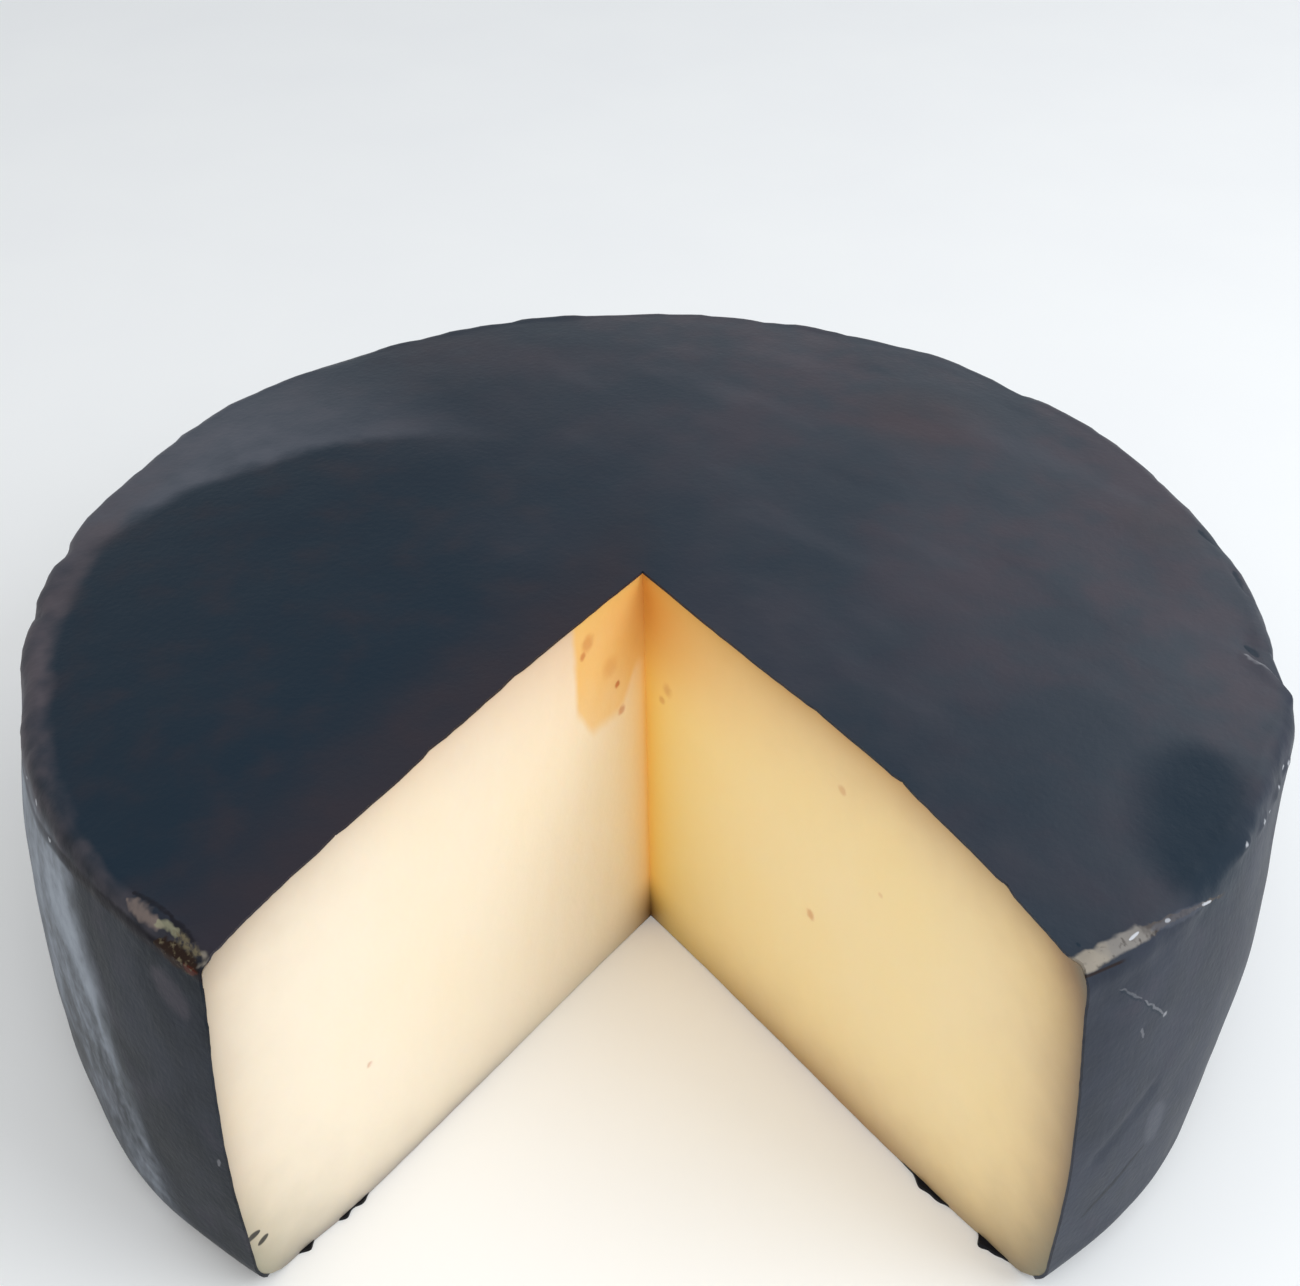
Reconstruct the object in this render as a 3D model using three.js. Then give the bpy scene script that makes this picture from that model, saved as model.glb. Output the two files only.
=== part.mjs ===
// A wheel of parmesan-style hard cheese in a black coating, with one wedge cut out of it.
//
// Millimetres, +Z up. The origin is the wheel's own axis where it meets the surface that the wheel
// stands on, and the missing wedge opens towards -Y. Angles round the wheel are measured from the
// middle of the missing wedge, and they grow towards +X.
//
// The cheese is one solid. It is built as a fan: one section of the wheel is turned about the inner
// edge of the cut, from one cut face round the back to the other. Every section has three runs of
// points, along the base, up the side and along the top, and the two cut faces fill the first and
// the last section.

import * as THREE from 'three';

// Driving dimensions
const wheelRadius = 125; // at the widest height of the side
const centreHeight = 90; // base to top at the wheel's axis
const crown = 6; // how far the top falls from its middle to the rim
const shoulderDrop = 2.5; // a further fall near the rim
const shoulderStart = 0.66; // where that fall begins, as a share of the radius
const bulge = 3.2; // how far the side draws in half a wheel's height above its widest level
const widestLevel = 31; // height at which the side is widest
const rimRadius = 4.5; // rounding of the upper edge
const baseRadius = 11; // rounding of the lower edge
const cutHalfAngle = THREE.MathUtils.degToRad( 35.6 ); // half of the missing wedge

// The cut stops a little in front of the axis, and its inner edge leans: where it meets the base and the top
const cutFoot = new THREE.Vector2( 0.8, - 5 );
const cutHead = new THREE.Vector2( - 1.7, - 1.6 );

// How finely the solid is divided
const sectionCount = 112; // sections from one cut face to the other
const flatShares = [ 0, 0.25, 0.5, 0.7, 0.85, 0.94, 1 ]; // steps across the base and the top
const edgeSteps = 4; // steps round the upper and the lower edge
const sideSteps = 7; // steps up the side

// Lumps and hollows of the side: where they are, how far they spread and how far they stand out.
// angle and spread are degrees round the wheel, level and tall are heights, out is negative in a hollow.
const sideLumps = [
	{ angle: 147, spread: 8, level: 80, tall: 18, out: 1.7 },
	{ angle: 135, spread: 4, level: 82, tall: 12, out: - 0.9 },
	{ angle: 106, spread: 9, level: 76, tall: 22, out: - 1.6 },
	{ angle: 80.5, spread: 2.2, level: 80, tall: 5, out: - 1.6 },
	{ angle: 74, spread: 5, level: 78, tall: 12, out: 2.1 },
	{ angle: 60, spread: 8, level: 16, tall: 16, out: - 1.9 },
	{ angle: - 49, spread: 7, level: 10, tall: 12, out: 0.8 },
	{ angle: - 76, spread: 4, level: 79, tall: 10, out: - 1.1 },
	{ angle: - 87, spread: 2.4, level: 80, tall: 9, out: - 1 },
	{ angle: - 97.5, spread: 2.4, level: 80, tall: 9, out: - 0.9 },
	{ angle: - 113.5, spread: 3, level: 80, tall: 12, out: - 0.9 },
	{ angle: - 129, spread: 9, level: 80, tall: 16, out: 1.1 },
	{ angle: - 168, spread: 12, level: 44, tall: 24, out: - 1.2 },
	{ angle: 172, spread: 9, level: 74, tall: 14, out: 1 },
];

// Shallow hollows and swellings of the top: a place, a reach in millimetres and a height
const topLumps = [
	{ x: 84, y: 40, reach: 16, up: - 1.1 },
	{ x: 96, y: 8, reach: 13, up: - 1 },
	{ x: 60, y: 66, reach: 20, up: 0.6 },
	{ x: 104, y: - 22, reach: 10, up: - 0.9 },
	{ x: - 66, y: 48, reach: 26, up: 0.5 },
	{ x: - 20, y: 84, reach: 18, up: - 0.6 },
];

// Where the knife strayed from a flat cut: how far from the cut's inner edge and at what level, how far
// the stray spreads each way, and how far the cheese stands out into the gap, negative where it is cut back
const knifeStrays = [
	{ cut: 'right', distance: 122, level: 72, spread: 16, tall: 34, out: 1.5 },
	{ cut: 'right', distance: 66, level: 90, spread: 26, tall: 34, out: - 1.3 },
	{ cut: 'right', distance: 114, level: 0, spread: 16, tall: 13, out: - 1.1 },
	{ cut: 'left', distance: 80, level: 88, spread: 26, tall: 30, out: 0.6 },
	{ cut: 'left', distance: 111, level: 0, spread: 12, tall: 12, out: - 1.6 },
];
const strayFade = THREE.MathUtils.degToRad( 14 ); // how far into the cheese the sections follow the knife
const steadyReach = 20; // from the inner edge, which stays put, to where a stray has its full size

// Slow unevenness that a pressed and turned cheese has all round: waves per turn, phase and height
const sideWaves = [
	{ turns: 2, phase: 0.6, level: 0.004, height: 0.35 },
	{ turns: 5, phase: 2.1, level: 0.021, height: 0.22 },
	{ turns: 11, phase: 4.4, level: - 0.05, height: 0.14 },
];

function bell( distance ) {

	return Math.exp( - distance * distance );

}

// An angle in degrees brought into the half turn on either side of zero
function wrapped( degrees ) {

	return THREE.MathUtils.euclideanModulo( degrees + 180, 360 ) - 180;

}

function turnAngle( x, y ) {

	return Math.atan2( x, - y );

}

function sideRadius( angle, level ) {

	const drawnIn = bulge * ( ( level - widestLevel ) / ( centreHeight / 2 ) ) ** 2;
	let radius = wheelRadius - drawnIn;

	for ( const wave of sideWaves ) {

		radius += wave.height * Math.sin( wave.turns * angle + wave.phase + wave.level * level );

	}

	for ( const lump of sideLumps ) {

		const across = wrapped( THREE.MathUtils.radToDeg( angle ) - lump.angle ) / lump.spread;
		const along = ( level - lump.level ) / lump.tall;
		radius += lump.out * bell( across ) * bell( along );

	}

	return radius;

}

function topHeight( x, y ) {

	const share = Math.hypot( x, y ) / wheelRadius;
	const shoulder = Math.max( 0, ( share - shoulderStart ) / ( 1 - shoulderStart ) );
	let height = centreHeight - crown * share ** 2 - shoulderDrop * shoulder ** 2;

	for ( const lump of topLumps ) {

		height += lump.up * bell( Math.hypot( x - lump.x, y - lump.y ) / lump.reach );

	}

	return height;

}

// The inner edge of the cut at a level
function cutEdge( level ) {

	return cutFoot.clone().lerp( cutHead, level / centreHeight );

}

// The point that lies this far from the cut's inner edge, in a section's direction
function along( direction, distance, level ) {

	return cutEdge( level ).addScaledVector( direction, distance );

}

// How far a point of a section is carried round the wheel, because the sections near a cut follow the knife
function knifeShift( turn, distance, level ) {

	const free = Math.min( 1, distance / steadyReach );
	let shift = 0;

	for ( const stray of knifeStrays ) {

		const onRight = stray.cut === 'right';
		const fromCut = ( onRight ? turn : 2 * Math.PI - turn ) - cutHalfAngle;
		const follows = Math.max( 0, 1 - fromCut / strayFade ) ** 2;
		const outwards = bell( ( distance - stray.distance ) / stray.spread );
		const upwards = bell( ( level - stray.level ) / stray.tall );
		shift += ( onRight ? - 1 : 1 ) * free * follows * outwards * upwards * stray.out;

	}

	return shift;

}

// How far the side is from the cut's inner edge, in a section's direction
function reach( direction, level ) {

	const edge = cutEdge( level );
	const ahead = edge.dot( direction );
	let distance = wheelRadius;

	for ( let round = 0; round < 4; round ++ ) {

		const point = along( direction, distance, level );
		const radius = sideRadius( turnAngle( point.x, point.y ), level );
		distance = Math.sqrt( ahead ** 2 - edge.lengthSq() + radius ** 2 ) - ahead;

	}

	return distance;

}

// One section as its three runs of points. The base and the top run outwards, the side runs upwards.
function section( turn ) {

	const direction = new THREE.Vector2( Math.sin( turn ), - Math.cos( turn ) );
	const across = new THREE.Vector2( Math.cos( turn ), Math.sin( turn ) );
	const place = ( distance, level ) => {

		const point = along( direction, distance, level );
		point.addScaledVector( across, knifeShift( turn, distance, level ) );
		return new THREE.Vector3( point.x, point.y, level );

	};

	const base = [];
	const baseFlat = reach( direction, baseRadius ) - baseRadius;
	for ( const share of flatShares ) base.push( place( baseFlat * share, 0 ) );

	for ( let step = 1; step <= edgeSteps; step ++ ) {

		const bend = step / edgeSteps * Math.PI / 2;
		const level = baseRadius * ( 1 - Math.cos( bend ) );
		base.push( place( baseFlat + baseRadius * Math.sin( bend ), level ) );

	}

	const rimPoint = along( direction, reach( direction, centreHeight - crown ) - rimRadius, centreHeight );
	const rimLevel = topHeight( rimPoint.x, rimPoint.y ) - rimRadius;
	const topFlat = reach( direction, rimLevel ) - rimRadius;

	const top = [];
	for ( const share of flatShares ) {

		const point = along( direction, topFlat * share, centreHeight );
		top.push( place( topFlat * share, topHeight( point.x, point.y ) ) );

	}

	const shoulderLevel = top.at( - 1 ).z - rimRadius;
	for ( let step = 1; step <= edgeSteps; step ++ ) {

		const bend = step / edgeSteps * Math.PI / 2;
		const level = shoulderLevel + rimRadius * Math.cos( bend );
		top.push( place( topFlat + rimRadius * Math.sin( bend ), level ) );

	}

	const side = [];
	for ( let step = 1; step < sideSteps; step ++ ) {

		const level = THREE.MathUtils.lerp( baseRadius, shoulderLevel, step / sideSteps );
		side.push( place( reach( direction, level ), level ) );

	}

	return { base, side: [ base.at( - 1 ), ...side, top.at( - 1 ) ], top };

}

// The skin between the sections: base, side and top make one line of points, walked from foot to head
function skin( sections ) {

	const line = ( { base, side, top } ) => [ ...base, ...side.slice( 1, - 1 ), ...top.toReversed() ];
	const lines = sections.map( line );
	const triangles = [];

	for ( let i = 0; i < lines.length - 1; i ++ ) {

		for ( let k = 0; k < lines[ i ].length - 1; k ++ ) {

			const [ a, b ] = [ lines[ i ][ k ], lines[ i ][ k + 1 ] ];
			const [ c, d ] = [ lines[ i + 1 ][ k ], lines[ i + 1 ][ k + 1 ] ];
			if ( k > 0 ) triangles.push( [ a, c, b ] );
			if ( k < lines[ i ].length - 2 ) triangles.push( [ b, c, d ] );

		}

	}

	return triangles;

}

// One cut face: columns that stand between the base run and the top run, with the side run as the last one
function cutFace( { base, side, top }, facesFirst ) {

	const columns = base.map( ( foot, j ) => side.map( ( point, row ) => {

		if ( row === 0 ) return foot;
		if ( row === sideSteps ) return top[ j ];
		if ( j === base.length - 1 ) return point;
		return foot.clone().lerp( top[ j ], row / sideSteps );

	} ) );

	const triangles = [];
	for ( let j = 0; j < columns.length - 1; j ++ ) {

		for ( let row = 0; row < sideSteps; row ++ ) {

			const [ a, b ] = [ columns[ j ][ row ], columns[ j + 1 ][ row ] ];
			const [ c, d ] = [ columns[ j ][ row + 1 ], columns[ j + 1 ][ row + 1 ] ];
			triangles.push( [ a, b, d ], [ a, d, c ] );

		}

	}

	return facesFirst ? triangles : triangles.map( ( [ a, b, c ] ) => [ a, c, b ] );

}

function cheeseGeometry() {

	const lastTurn = 2 * Math.PI - cutHalfAngle;
	const sections = [];
	for ( let i = 0; i <= sectionCount; i ++ ) {

		sections.push( section( THREE.MathUtils.lerp( cutHalfAngle, lastTurn, i / sectionCount ) ) );

	}

	const coating = skin( sections );
	const cuts = [ ...cutFace( sections[ 0 ], true ), ...cutFace( sections.at( - 1 ), false ) ];
	const points = [ ...coating, ...cuts ].flat();

	const geometry = new THREE.BufferGeometry().setFromPoints( points );
	geometry.addGroup( 0, 3 * coating.length, 0 );
	geometry.addGroup( 3 * coating.length, 3 * cuts.length, 1 );
	geometry.computeVertexNormals();
	return geometry;

}

const coating = new THREE.MeshStandardMaterial( { color: 0x333a44, roughness: 0.55, metalness: 0 } );
const paste = new THREE.MeshStandardMaterial( { color: 0xf0dcb0, roughness: 0.5, metalness: 0 } );

const cheese = new THREE.Mesh( cheeseGeometry(), [ coating, paste ] );
cheese.name = 'cheese_wheel';

const group = new THREE.Group();
group.add( cheese );

export default group;
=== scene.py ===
# %% [markdown]
# # A coated wheel of hard cheese, cut open to its middle
#
# The real thing is a low, round cheese of smooth ivory paste in a thin black coating. A knife has cut a
# gap into it, down to the middle. The packed part already holds its size and form. This lesson dresses
# that form: a thin coating with torn and worn edges, and the soft paste that shows in the cut.
#
# Everything sits in the part's own frame. The wheel's axis is the Z axis, the wheel stands on Z = 0, and
# the gap opens towards -Y. Loading the frame comes first, because all pieces ride on its body.

# %% Load the packed part
import math

import bmesh
import bpy
import numpy as np
from mathutils import Matrix, Vector, noise


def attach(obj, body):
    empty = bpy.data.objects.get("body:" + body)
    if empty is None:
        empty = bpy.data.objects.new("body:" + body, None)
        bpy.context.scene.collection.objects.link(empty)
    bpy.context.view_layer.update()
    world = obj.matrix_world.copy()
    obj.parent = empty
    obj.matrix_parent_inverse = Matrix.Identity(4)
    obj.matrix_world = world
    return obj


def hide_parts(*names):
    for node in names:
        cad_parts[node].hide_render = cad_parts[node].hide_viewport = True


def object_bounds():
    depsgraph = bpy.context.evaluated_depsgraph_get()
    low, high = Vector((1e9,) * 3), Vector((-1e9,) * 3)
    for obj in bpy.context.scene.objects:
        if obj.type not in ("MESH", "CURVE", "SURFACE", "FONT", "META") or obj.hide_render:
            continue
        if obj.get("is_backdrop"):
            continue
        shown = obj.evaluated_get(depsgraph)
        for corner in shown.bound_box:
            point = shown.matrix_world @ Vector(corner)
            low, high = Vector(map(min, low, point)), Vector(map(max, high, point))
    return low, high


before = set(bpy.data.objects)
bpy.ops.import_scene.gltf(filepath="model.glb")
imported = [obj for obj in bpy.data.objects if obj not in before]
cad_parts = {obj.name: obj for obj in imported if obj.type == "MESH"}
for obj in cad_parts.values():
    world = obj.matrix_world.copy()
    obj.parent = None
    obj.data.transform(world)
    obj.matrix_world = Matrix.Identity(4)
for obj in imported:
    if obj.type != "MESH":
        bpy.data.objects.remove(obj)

MM = 0.001
packed_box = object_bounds()
print("packed box in mm:", [round(side / MM, 1) for side in packed_box[1] - packed_box[0]])

# %% [markdown]
# ## The camera
#
# The view looks down into the gap at 37 degrees. One could place a camera by eye, but here an azimuth, an
# elevation, a roll and the distance from one point in the wheel place it, because those are the numbers
# that a still picture of an object fixes.

# %% Make the camera
LOOK_AT = Vector((0.09, 15.0, 60.0))
AZIMUTH = math.radians(-0.64)
ELEVATION = math.radians(36.966)
ROLL = math.radians(0.706)
DISTANCE = 404.3
LENS_MM = 53.394
SENSOR_MM = 36

back = Vector((
    math.sin(AZIMUTH) * math.cos(ELEVATION),
    -math.cos(AZIMUTH) * math.cos(ELEVATION),
    math.sin(ELEVATION),
))
camera = bpy.data.objects.new("camera", bpy.data.cameras.new("camera"))
bpy.context.scene.collection.objects.link(camera)
bpy.context.scene.camera = camera
camera.data.lens = LENS_MM
camera.data.sensor_width = SENSOR_MM
place_camera = Matrix.Translation((LOOK_AT + back * DISTANCE) * MM)
turn_camera = back.to_track_quat("Z", "Y").to_matrix().to_4x4() @ Matrix.Rotation(ROLL, 4, "Z")
camera.matrix_world = place_camera @ turn_camera
print("camera at", [round(c / MM, 1) for c in camera.matrix_world.translation], "mm")

# %% [markdown]
# ## The wheel's form, from named sizes
#
# A pressed cheese has a slightly crowned top, a side that bulges low down, a tight upper edge and a rounder
# lower one. The part's solid was made from a few sizes, and the fine surface has to keep that form. One
# could subdivide the solid's facets, but that would keep their corners. So the same sizes are stated again
# in millimetres, and the surface is worked out afresh with as many points as the looks need.

# %% State the sizes
WHEEL_RADIUS = 125.0
CENTRE_HEIGHT = 90.0
CROWN = 6.0
SHOULDER_DROP = 2.5
SHOULDER_START = 0.66
BULGE = 3.2
WIDEST_LEVEL = 31.0
RIM_RADIUS = 4.5
BASE_RADIUS = 11.0
CUT_HALF_ANGLE = math.radians(35.6)
CUT_FOOT = np.array([0.8, -5.0])
CUT_HEAD = np.array([-1.7, -1.6])
STRAY_FADE = math.radians(14)
STEADY_REACH = 20.0

# Side lumps: angle and spread in degrees round the wheel, level and spread up and down, how far out
SIDE_LUMPS = (
    (147, 8, 80, 18, 1.7), (135, 4, 82, 12, -0.9), (106, 9, 76, 22, -1.6), (80.5, 2.2, 80, 5, -1.6),
    (74, 5, 78, 12, 2.1), (60, 8, 16, 16, -1.9), (-49, 7, 10, 12, 0.8), (-76, 4, 79, 10, -1.1),
    (-87, 2.4, 80, 9, -1), (-97.5, 2.4, 80, 9, -0.9), (-113.5, 3, 80, 12, -0.9),
    (-129, 9, 80, 16, 1.1), (-168, 12, 44, 24, -1.2), (172, 9, 74, 14, 1),
)
# Top lumps: x, y, reach, height
TOP_LUMPS = (
    (84, 40, 16, -1.1), (96, 8, 13, -1), (60, 66, 20, 0.6),
    (104, -22, 10, -0.9), (-66, 48, 26, 0.5), (-20, 84, 18, -0.6),
)
# Knife strays: cut, distance from the inner edge, level, spread along and up, how far out into the gap
KNIFE_STRAYS = (
    ("right", 122, 72, 16, 34, 1.5), ("right", 66, 90, 26, 34, -1.3), ("right", 114, 0, 16, 13, -1.1),
    ("left", 80, 88, 26, 30, 0.6), ("left", 111, 0, 12, 12, -1.6),
)
# Side waves: waves per turn, phase, change of phase with level, height
SIDE_WAVES = ((2, 0.6, 0.004, 0.35), (5, 2.1, 0.021, 0.22), (11, 4.4, -0.05, 0.14))
print("wheel", 2 * WHEEL_RADIUS, "mm across,", CENTRE_HEIGHT, "mm high")

# %% Work out the side and the top
def bell(distance):
    return np.exp(-distance ** 2)


def wrapped(degrees):
    return (degrees + 180) % 360 - 180


def side_radius(angle, level):
    radius = WHEEL_RADIUS - BULGE * ((level - WIDEST_LEVEL) / (CENTRE_HEIGHT / 2)) ** 2
    for turns, phase, climb, height in SIDE_WAVES:
        radius = radius + height * np.sin(turns * angle + phase + climb * level)
    for at, spread, middle, tall, out in SIDE_LUMPS:
        across = wrapped(np.degrees(angle) - at) / spread
        radius = radius + out * bell(across) * bell((level - middle) / tall)
    return radius


def top_height(x, y):
    share = np.hypot(x, y) / WHEEL_RADIUS
    shoulder = np.maximum(0, (share - SHOULDER_START) / (1 - SHOULDER_START))
    height = CENTRE_HEIGHT - CROWN * share ** 2 - SHOULDER_DROP * shoulder ** 2
    for at_x, at_y, reach, up in TOP_LUMPS:
        height = height + up * bell(np.hypot(x - at_x, y - at_y) / reach)
    return height


print("rim level", round(float(top_height(118.0, 0.0)), 1), "mm at the right")

# %% [markdown]
# ## Sections that fan out from the cut's inner edge
#
# Everything the knife made runs through one line: the inner edge of the cut. So the skin is a fan. One
# section after another is turned about that edge, from one cut face round the back to the other, and
# each is a line of points along the base, up the side and back along the top. A grid of squares would
# meet the cut faces at a slant. The fan lies flush with them, and grows finer where the eye looks.

# %% Work out the sections
def inner_edge(level):
    """Where the cut's inner edge is at a level."""
    return CUT_FOOT + (CUT_HEAD - CUT_FOOT) * (level / CENTRE_HEIGHT)[..., None]


def reach_to_side(heading, level):
    edge = inner_edge(level)
    ahead = (edge * heading).sum(-1)
    distance = np.full(level.shape, WHEEL_RADIUS)
    for _ in range(4):
        point = edge + heading * distance[..., None]
        radius = side_radius(np.arctan2(point[..., 0], -point[..., 1]), level)
        distance = np.sqrt(ahead ** 2 - (edge ** 2).sum(-1) + radius ** 2) - ahead
    return distance


def knife_shift(turn, distance, level):
    shift = np.zeros(np.broadcast_shapes(turn.shape, distance.shape))
    for cut, at, middle, spread, tall, out in KNIFE_STRAYS:
        on_right = cut == "right"
        from_cut = (turn if on_right else 2 * math.pi - turn) - CUT_HALF_ANGLE
        follows = np.maximum(0, 1 - from_cut / STRAY_FADE) ** 2
        size = follows * bell((distance - at) / spread) * bell((level - middle) / tall) * out
        shift = shift + (-size if on_right else size)
    return shift * np.minimum(1, distance / STEADY_REACH)


def section_lines(turns, top_shares, base_shares, edge_steps, side_shares):
    """Points of the base, side and top runs, each of the shape (sections, points, 3), in millimetres."""
    turn = np.asarray(turns)[:, None]
    heading = np.stack([np.sin(turn), -np.cos(turn)], -1)
    across = np.stack([np.cos(turn), np.sin(turn)], -1)

    def along(distance, level):
        return inner_edge(level) + heading * distance[..., None]

    def placed(distance, level):
        level = np.broadcast_to(level, distance.shape)
        point = along(distance, level) + across * knife_shift(turn, distance, level)[..., None]
        return np.concatenate([point, level[..., None]], -1)

    bends = np.linspace(0, math.pi / 2, edge_steps + 1)[None, 1:]
    base_flat = reach_to_side(heading, np.full(turn.shape, BASE_RADIUS)) - BASE_RADIUS
    base = np.concatenate([
        placed(base_flat * base_shares, 0.0),
        placed(base_flat + BASE_RADIUS * np.sin(bends), BASE_RADIUS * (1 - np.cos(bends))),
    ], 1)

    head = np.full(turn.shape, CENTRE_HEIGHT)
    rim_point = along(reach_to_side(heading, head - CROWN) - RIM_RADIUS, head)
    rim_level = top_height(rim_point[..., 0], rim_point[..., 1]) - RIM_RADIUS
    top_flat = reach_to_side(heading, rim_level) - RIM_RADIUS
    spread = top_flat * top_shares
    flat_point = along(spread, np.broadcast_to(head, spread.shape))
    height = top_height(flat_point[..., 0], flat_point[..., 1])
    shoulder = height[:, -1:] - RIM_RADIUS
    top = np.concatenate([
        placed(spread, height),
        placed(top_flat + RIM_RADIUS * np.sin(bends), shoulder + RIM_RADIUS * np.cos(bends)),
    ], 1)

    level = BASE_RADIUS + (shoulder - BASE_RADIUS) * side_shares
    side = placed(reach_to_side(heading, level), level)
    return base, side, top


LAST_TURN = 2 * math.pi - CUT_HALF_ANGLE
few = np.linspace(0, 1, 5)
trial = section_lines([CUT_HALF_ANGLE, LAST_TURN], few, few, 4, few[1:-1])
print("the cut's corners at the rim:", np.round(trial[2][:, -1], 1).tolist())

# %% [markdown]
# ## Relief of the skin
#
# Real coatings aren't even. They carry slow waves from the press cloth, dents and folds along the rim, and
# a crusty break beside the left cut. These are small, yet they catch the light, so they belong in the
# mesh. Their places are given on the rim laid out flat: an angle round the wheel, and a fold
# distance that is positive inwards on the top and negative down the side.

# %% List the marks of the rim
RIM_AT = 119.5
RIM_LEVEL = 80.5
RIM_MARKS = (
    # from angle and fold, to angle and fold, width, height
    (82.6, 7.5, 81.0, 4.0, 2.2, -0.9),
    (80.6, 8.8, 78.6, 4.6, 0.9, 0.7),
    (78.6, 4.6, 76.0, -1.5, 1.2, 0.8),
    (102.0, 6.4, 99.3, 4.2, 0.8, -0.6),
    (95.4, 4.4, 91.2, 3.6, 0.9, -0.6),
    (69.8, -6.4, 68.6, -5.8, 1.5, 0.6),
    (66.2, -5.6, 65.0, -5.4, 1.6, 0.7),
    (61.4, -5.2, 60.2, -4.8, 1.4, 0.6),
    (56.6, -2.4, 55.2, -2.0, 1.7, 0.6),
    (43.4, -41.0, 36.9, -48.5, 1.4, -0.45),
    (-36.0, 0.6, -40.6, 1.2, 1.9, -1.0),
    (-36.0, -2.2, -41.5, -1.6, 0.8, 0.25),
    (-37.0, 3.4, -44.0, 3.4, 1.0, 0.35),
    (-87.0, 3.0, -88.5, -1.0, 1.4, -0.5),
    (-97.0, 3.0, -98.5, -1.0, 1.4, -0.5),
    (132.0, 4.0, 137.0, 1.0, 1.5, -0.5),
    (158.0, 3.0, 163.0, 2.0, 1.3, 0.5),
    (-140.0, 3.0, -146.0, 2.0, 1.6, -0.5),
    (-165.0, 2.0, -172.0, 4.0, 1.4, 0.4),
)


def rim_sheet(points):
    """The rim laid out flat: millimetres round the wheel, and the fold distance across the rim."""
    angle = np.degrees(np.arctan2(points[..., 0], -points[..., 1]))
    radius = np.hypot(points[..., 0], points[..., 1])
    return angle, (RIM_AT - radius) + (points[..., 2] - RIM_LEVEL)


def stroke_distance(angle, fold, mark):
    """How far a point of the flat rim is from a mark's line, in millimetres."""
    round_mm = math.radians(RIM_AT)
    start = np.array([mark[0] * round_mm, mark[1]])
    line = np.array([mark[2] * round_mm, mark[3]]) - start
    offset = np.stack([wrapped(angle - mark[0]) * round_mm, fold - mark[1]], -1)
    share = np.clip((offset @ line) / (line @ line), 0, 1)
    return np.linalg.norm(offset - share[..., None] * line, axis=-1)


print(len(RIM_MARKS), "marks along the rim")

# %% Work out the relief
SEAM_END = 52.0
BREAK_END = -42.0


def seam_fold(angle):
    """The worn seam starts on the top beside the right cut and slips over the rim as it leaves it."""
    return 3.0 - 0.035 * (angle - 35) ** 2


def rough(points, size, shift=0.0):
    """Smooth chance heights between about -1 and 1, with features of a size in millimetres."""
    flat = points.reshape(-1, 3) / size + shift
    return np.array([noise.noise(Vector(p)) for p in flat]).reshape(points.shape[:-1])


def relief(points):
    """How far the skin stands out from the smooth form, in millimetres."""
    angle, fold = rim_sheet(points)
    lifted = np.clip((points[..., 2] - 0.5) / 6, 0, 1)
    height = 0.30 * rough(points, 24) + 0.12 * rough(points, 8, 7.3)
    near_rim = bell(fold / 7)
    height = height + near_rim * (0.32 * rough(points, 5, 3.1) + 0.12 * rough(points, 2.4, 9.7))
    for mark in RIM_MARKS:
        height = height + mark[5] * bell(stroke_distance(angle, fold, mark) / mark[4])
    on_seam = bell((fold - seam_fold(angle)) / 1.7) * np.clip((SEAM_END - angle) / 6, 0, 1) * (angle > 30)
    height = height + on_seam * (0.35 + 0.3 * rough(points, 2.2, 5.5))
    broken = bell((fold - 0.8) / 2.6) * np.clip((angle - BREAK_END) / 3, 0, 1) * (angle < -30)
    height = height + broken * 0.55 * rough(points, 1.6, 1.9)
    return height * lifted


sample_turns = np.linspace(CUT_HALF_ANGLE, LAST_TURN, 40)
sample = section_lines(sample_turns, np.linspace(0, 1, 20), few, 4, few)
heights = relief(np.concatenate([sample[1], sample[2]], 1))
print("relief from", round(float(heights.min()), 2), "to", round(float(heights.max()), 2), "mm")

# %% [markdown]
# ## From points to meshes
#
# Two helpers turn grids of points into Blender objects. `surface_normals` finds which way the skin faces,
# by crossing the steps to the neighbouring points. `make_piece` welds points that fall together, as
# those at the inner edge do, keeps corners sharper than 40 degrees crisp, and lets the piece ride the body.

# %% Make the mesh helpers
SHARP_CORNER = math.radians(40)
WELD_WITHIN = 0.0005
NO_LENGTH = 0.0001


def surface_normals(grid):
    """Outward directions of a fan's points, straight down and up at its two ends on the inner edge."""
    crossed = np.cross(np.gradient(grid, axis=0), np.gradient(grid, axis=1))
    length = np.linalg.norm(crossed, axis=-1, keepdims=True)
    normals = crossed / np.maximum(length, 1e-12)
    normals[:, 0] = (0, 0, -1)
    normals[:, -1] = (0, 0, 1)
    return normals


def grid_faces(start, rows, columns, flip=False):
    """Quads between the points of a grid whose numbers begin at start, row by row."""
    r, c = np.meshgrid(np.arange(rows - 1), np.arange(columns - 1), indexing="ij")
    a = (start + r * columns + c).ravel()
    quads = np.stack([a, a + columns, a + columns + 1, a + 1], 1)
    return quads[:, ::-1] if flip else quads


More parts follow.
